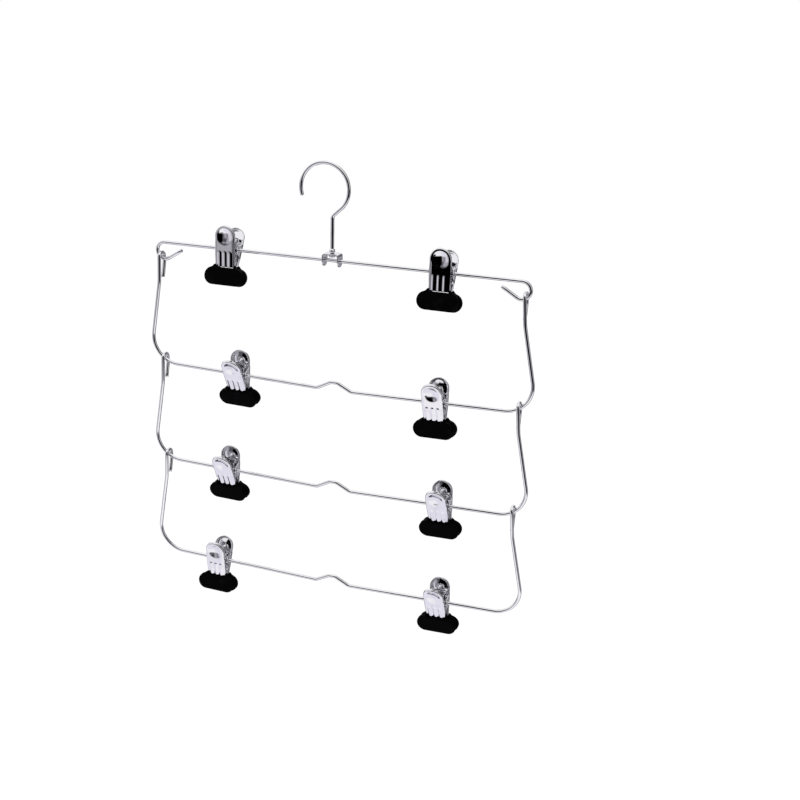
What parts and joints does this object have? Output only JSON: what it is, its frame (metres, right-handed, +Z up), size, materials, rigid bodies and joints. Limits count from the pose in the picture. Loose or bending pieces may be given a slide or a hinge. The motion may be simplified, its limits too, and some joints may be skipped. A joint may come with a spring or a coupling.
{
  "type": "tiered trouser hanger",
  "caption": "Space-saving trouser hanger: a swivelling wire hook holds a rail with hinged wire tiers below it, each bar carrying sliding spring clips with padded jaws.",
  "frame": {"origin": "the point of the hook's inside that rests on the top of the wardrobe rail", "axes": "+Z up along the shank, +X along the bars towards the right as seen from the front, -Y towards the front jaws"},
  "size_m": [0.3344, 0.0304, 0.3901],
  "materials": {
    "chrome_wire": "bright plated wire",
    "bracket_steel": "plated strip",
    "pressed_jaw": "bright plated sheet",
    "black_rubber": "smooth satin",
    "spring_steel": "plain drawn wire"
  },
  "bodies": {
    "hook": {"hook": "chrome_wire"},
    "bracket": {"swivel_bracket": "bracket_steel"},
    "rail": {"top_rail": "chrome_wire"},
    "tier_2": {"tier_frame_2": "chrome_wire"},
    "tier_3": {"tier_frame_3": "chrome_wire"},
    "tier_4": {"tier_frame_4": "chrome_wire"},
    "clip_1l_spring": {"spring_1l": "spring_steel"},
    "clip_1l_rear": {"rear_jaw_1l": "pressed_jaw", "rear_pad_1l": "black_rubber"},
    "clip_1l_front": {"front_jaw_1l": "pressed_jaw", "front_pad_1l": "black_rubber"},
    "clip_1r_spring": {"spring_1r": "spring_steel"},
    "clip_1r_rear": {"rear_jaw_1r": "pressed_jaw", "rear_pad_1r": "black_rubber"},
    "clip_1r_front": {"front_jaw_1r": "pressed_jaw", "front_pad_1r": "black_rubber"},
    "clip_2l_spring": {"spring_2l": "spring_steel"},
    "clip_2l_rear": {"rear_jaw_2l": "pressed_jaw", "rear_pad_2l": "black_rubber"},
    "clip_2l_front": {"front_jaw_2l": "pressed_jaw", "front_pad_2l": "black_rubber"},
    "clip_2r_spring": {"spring_2r": "spring_steel"},
    "clip_2r_rear": {"rear_jaw_2r": "pressed_jaw", "rear_pad_2r": "black_rubber"},
    "clip_2r_front": {"front_jaw_2r": "pressed_jaw", "front_pad_2r": "black_rubber"},
    "clip_3l_spring": {"spring_3l": "spring_steel"},
    "clip_3l_rear": {"rear_jaw_3l": "pressed_jaw", "rear_pad_3l": "black_rubber"},
    "clip_3l_front": {"front_jaw_3l": "pressed_jaw", "front_pad_3l": "black_rubber"},
    "clip_3r_spring": {"spring_3r": "spring_steel"},
    "clip_3r_rear": {"rear_jaw_3r": "pressed_jaw", "rear_pad_3r": "black_rubber"},
    "clip_3r_front": {"front_jaw_3r": "pressed_jaw", "front_pad_3r": "black_rubber"},
    "clip_4l_spring": {"spring_4l": "spring_steel"},
    "clip_4l_rear": {"rear_jaw_4l": "pressed_jaw", "rear_pad_4l": "black_rubber"},
    "clip_4l_front": {"front_jaw_4l": "pressed_jaw", "front_pad_4l": "black_rubber"},
    "clip_4r_spring": {"spring_4r": "spring_steel"},
    "clip_4r_rear": {"rear_jaw_4r": "pressed_jaw", "rear_pad_4r": "black_rubber"},
    "clip_4r_front": {"front_jaw_4r": "pressed_jaw", "front_pad_4r": "black_rubber"}
  },
  "joints": [
    {"name": "bracket_swivel", "type": "hinge", "parent": "hook", "child": "bracket", "pos_m": [0.0066, 0, -0.075], "axis": [0, 0, 1], "continuous": true},
    {"name": "rail_pivot", "type": "hinge", "parent": "bracket", "child": "rail", "pos_m": [0.0091, 0, -0.075], "axis": [1, 0, 0], "range_deg": [-30, 30]},
    {"name": "tier_2_hinge", "type": "hinge", "parent": "rail", "child": "tier_2", "pos_m": [0.0091, 0, -0.08817], "axis": [1, 0, 0], "range_deg": [-60, 60]},
    {"name": "tier_3_hinge", "type": "hinge", "parent": "tier_2", "child": "tier_3", "pos_m": [0.0091, 0, -0.17616], "axis": [1, 0, 0], "range_deg": [-60, 60]},
    {"name": "tier_4_hinge", "type": "hinge", "parent": "tier_3", "child": "tier_4", "pos_m": [0.0091, 0, -0.26414], "axis": [1, 0, 0], "range_deg": [-60, 60]},
    {"name": "clip_1l_slide", "type": "slide", "parent": "rail", "child": "clip_1l_spring", "axis": [1, 0, 0], "range_m": [-0.0315, 0.0665]},
    {"name": "clip_1l_swing", "type": "hinge", "parent": "clip_1l_spring", "child": "clip_1l_rear", "pos_m": [-0.0844, 0, -0.075], "axis": [1, 0, 0], "continuous": true},
    {"name": "clip_1l_squeeze", "type": "hinge", "parent": "clip_1l_rear", "child": "clip_1l_front", "pos_m": [-0.0844, 0, -0.075], "axis": [-1, 0, 0], "range_deg": [0, 40], "stiffness_Nm_per_rad": 0.02, "springref_deg": -34.38, "deforming": ["spring_1l"]},
    {"name": "clip_1r_slide", "type": "slide", "parent": "rail", "child": "clip_1r_spring", "axis": [1, 0, 0], "range_m": [-0.0623, 0.0357]},
    {"name": "clip_1r_swing", "type": "hinge", "parent": "clip_1r_spring", "child": "clip_1r_rear", "pos_m": [0.0984, 0, -0.075], "axis": [1, 0, 0], "continuous": true},
    {"name": "clip_1r_squeeze", "type": "hinge", "parent": "clip_1r_rear", "child": "clip_1r_front", "pos_m": [0.0984, 0, -0.075], "axis": [-1, 0, 0], "range_deg": [0, 40], "stiffness_Nm_per_rad": 0.02, "springref_deg": -34.38, "deforming": ["spring_1r"]},
    {"name": "clip_2l_slide", "type": "slide", "parent": "tier_2", "child": "clip_2l_spring", "axis": [0.9997, 0.001, -0.0232], "range_m": [-0.046, 0.061]},
    {"name": "clip_2l_swing", "type": "hinge", "parent": "clip_2l_spring", "child": "clip_2l_rear", "pos_m": [-0.0789, 0.00021, -0.181], "axis": [0.9997, 0.001, -0.0232], "continuous": true},
    {"name": "clip_2l_squeeze", "type": "hinge", "parent": "clip_2l_rear", "child": "clip_2l_front", "pos_m": [-0.0789, 0.00021, -0.181], "axis": [-0.9997, -0.001, 0.0232], "range_deg": [0, 40], "stiffness_Nm_per_rad": 0.02, "springref_deg": -34.38, "deforming": ["spring_2l"]},
    {"name": "clip_2r_slide", "type": "slide", "parent": "tier_2", "child": "clip_2r_spring", "axis": [0.9997, -0.001, 0.0232], "range_m": [-0.06, 0.047]},
    {"name": "clip_2r_swing", "type": "hinge", "parent": "clip_2r_spring", "child": "clip_2r_rear", "pos_m": [0.0961, 0.00021, -0.18103], "axis": [0.9997, -0.001, 0.0232], "continuous": true},
    {"name": "clip_2r_squeeze", "type": "hinge", "parent": "clip_2r_rear", "child": "clip_2r_front", "pos_m": [0.0961, 0.00021, -0.18103], "axis": [-0.9997, 0.001, -0.0232], "range_deg": [0, 40], "stiffness_Nm_per_rad": 0.02, "springref_deg": -34.38, "deforming": ["spring_2r"]},
    {"name": "clip_3l_slide", "type": "slide", "parent": "tier_3", "child": "clip_3l_spring", "axis": [0.9997, 0.001, -0.0232], "range_m": [-0.035, 0.072]},
    {"name": "clip_3l_swing", "type": "hinge", "parent": "clip_3l_spring", "child": "clip_3l_rear", "pos_m": [-0.0899, 0.00019, -0.26873], "axis": [0.9997, 0.001, -0.0232], "continuous": true},
    {"name": "clip_3l_squeeze", "type": "hinge", "parent": "clip_3l_rear", "child": "clip_3l_front", "pos_m": [-0.0899, 0.00019, -0.26873], "axis": [-0.9997, -0.001, 0.0232], "range_deg": [0, 40], "stiffness_Nm_per_rad": 0.02, "springref_deg": -34.38, "deforming": ["spring_3l"]},
    {"name": "clip_3r_slide", "type": "slide", "parent": "tier_3", "child": "clip_3r_spring", "axis": [0.9997, -0.001, 0.0232], "range_m": [-0.067, 0.04]},
    {"name": "clip_3r_swing", "type": "hinge", "parent": "clip_3r_spring", "child": "clip_3r_rear", "pos_m": [0.1031, 0.0002, -0.26885], "axis": [0.9997, -0.001, 0.0232], "continuous": true},
    {"name": "clip_3r_squeeze", "type": "hinge", "parent": "clip_3r_rear", "child": "clip_3r_front", "pos_m": [0.1031, 0.0002, -0.26885], "axis": [-0.9997, 0.001, -0.0232], "range_deg": [0, 40], "stiffness_Nm_per_rad": 0.02, "springref_deg": -34.38, "deforming": ["spring_3r"]},
    {"name": "clip_4l_slide", "type": "slide", "parent": "tier_4", "child": "clip_4l_spring", "axis": [0.9997, 0.001, -0.0232], "range_m": [-0.0251, 0.0819]},
    {"name": "clip_4l_swing", "type": "hinge", "parent": "clip_4l_spring", "child": "clip_4l_rear", "pos_m": [-0.0998, 0.00018, -0.35649], "axis": [0.9997, 0.001, -0.0232], "continuous": true},
    {"name": "clip_4l_squeeze", "type": "hinge", "parent": "clip_4l_rear", "child": "clip_4l_front", "pos_m": [-0.0998, 0.00018, -0.35649], "axis": [-0.9997, -0.001, 0.0232], "range_deg": [0, 40], "stiffness_Nm_per_rad": 0.02, "springref_deg": -34.38, "deforming": ["spring_4l"]},
    {"name": "clip_4r_slide", "type": "slide", "parent": "tier_4", "child": "clip_4r_spring", "axis": [0.9997, -0.001, 0.0232], "range_m": [-0.0682, 0.0388]},
    {"name": "clip_4r_swing", "type": "hinge", "parent": "clip_4r_spring", "child": "clip_4r_rear", "pos_m": [0.1043, 0.0002, -0.35681], "axis": [0.9997, -0.001, 0.0232], "continuous": true},
    {"name": "clip_4r_squeeze", "type": "hinge", "parent": "clip_4r_rear", "child": "clip_4r_front", "pos_m": [0.1043, 0.0002, -0.35681], "axis": [-0.9997, 0.001, -0.0232], "range_deg": [0, 40], "stiffness_Nm_per_rad": 0.02, "springref_deg": -34.38, "deforming": ["spring_4r"]}
  ]
}
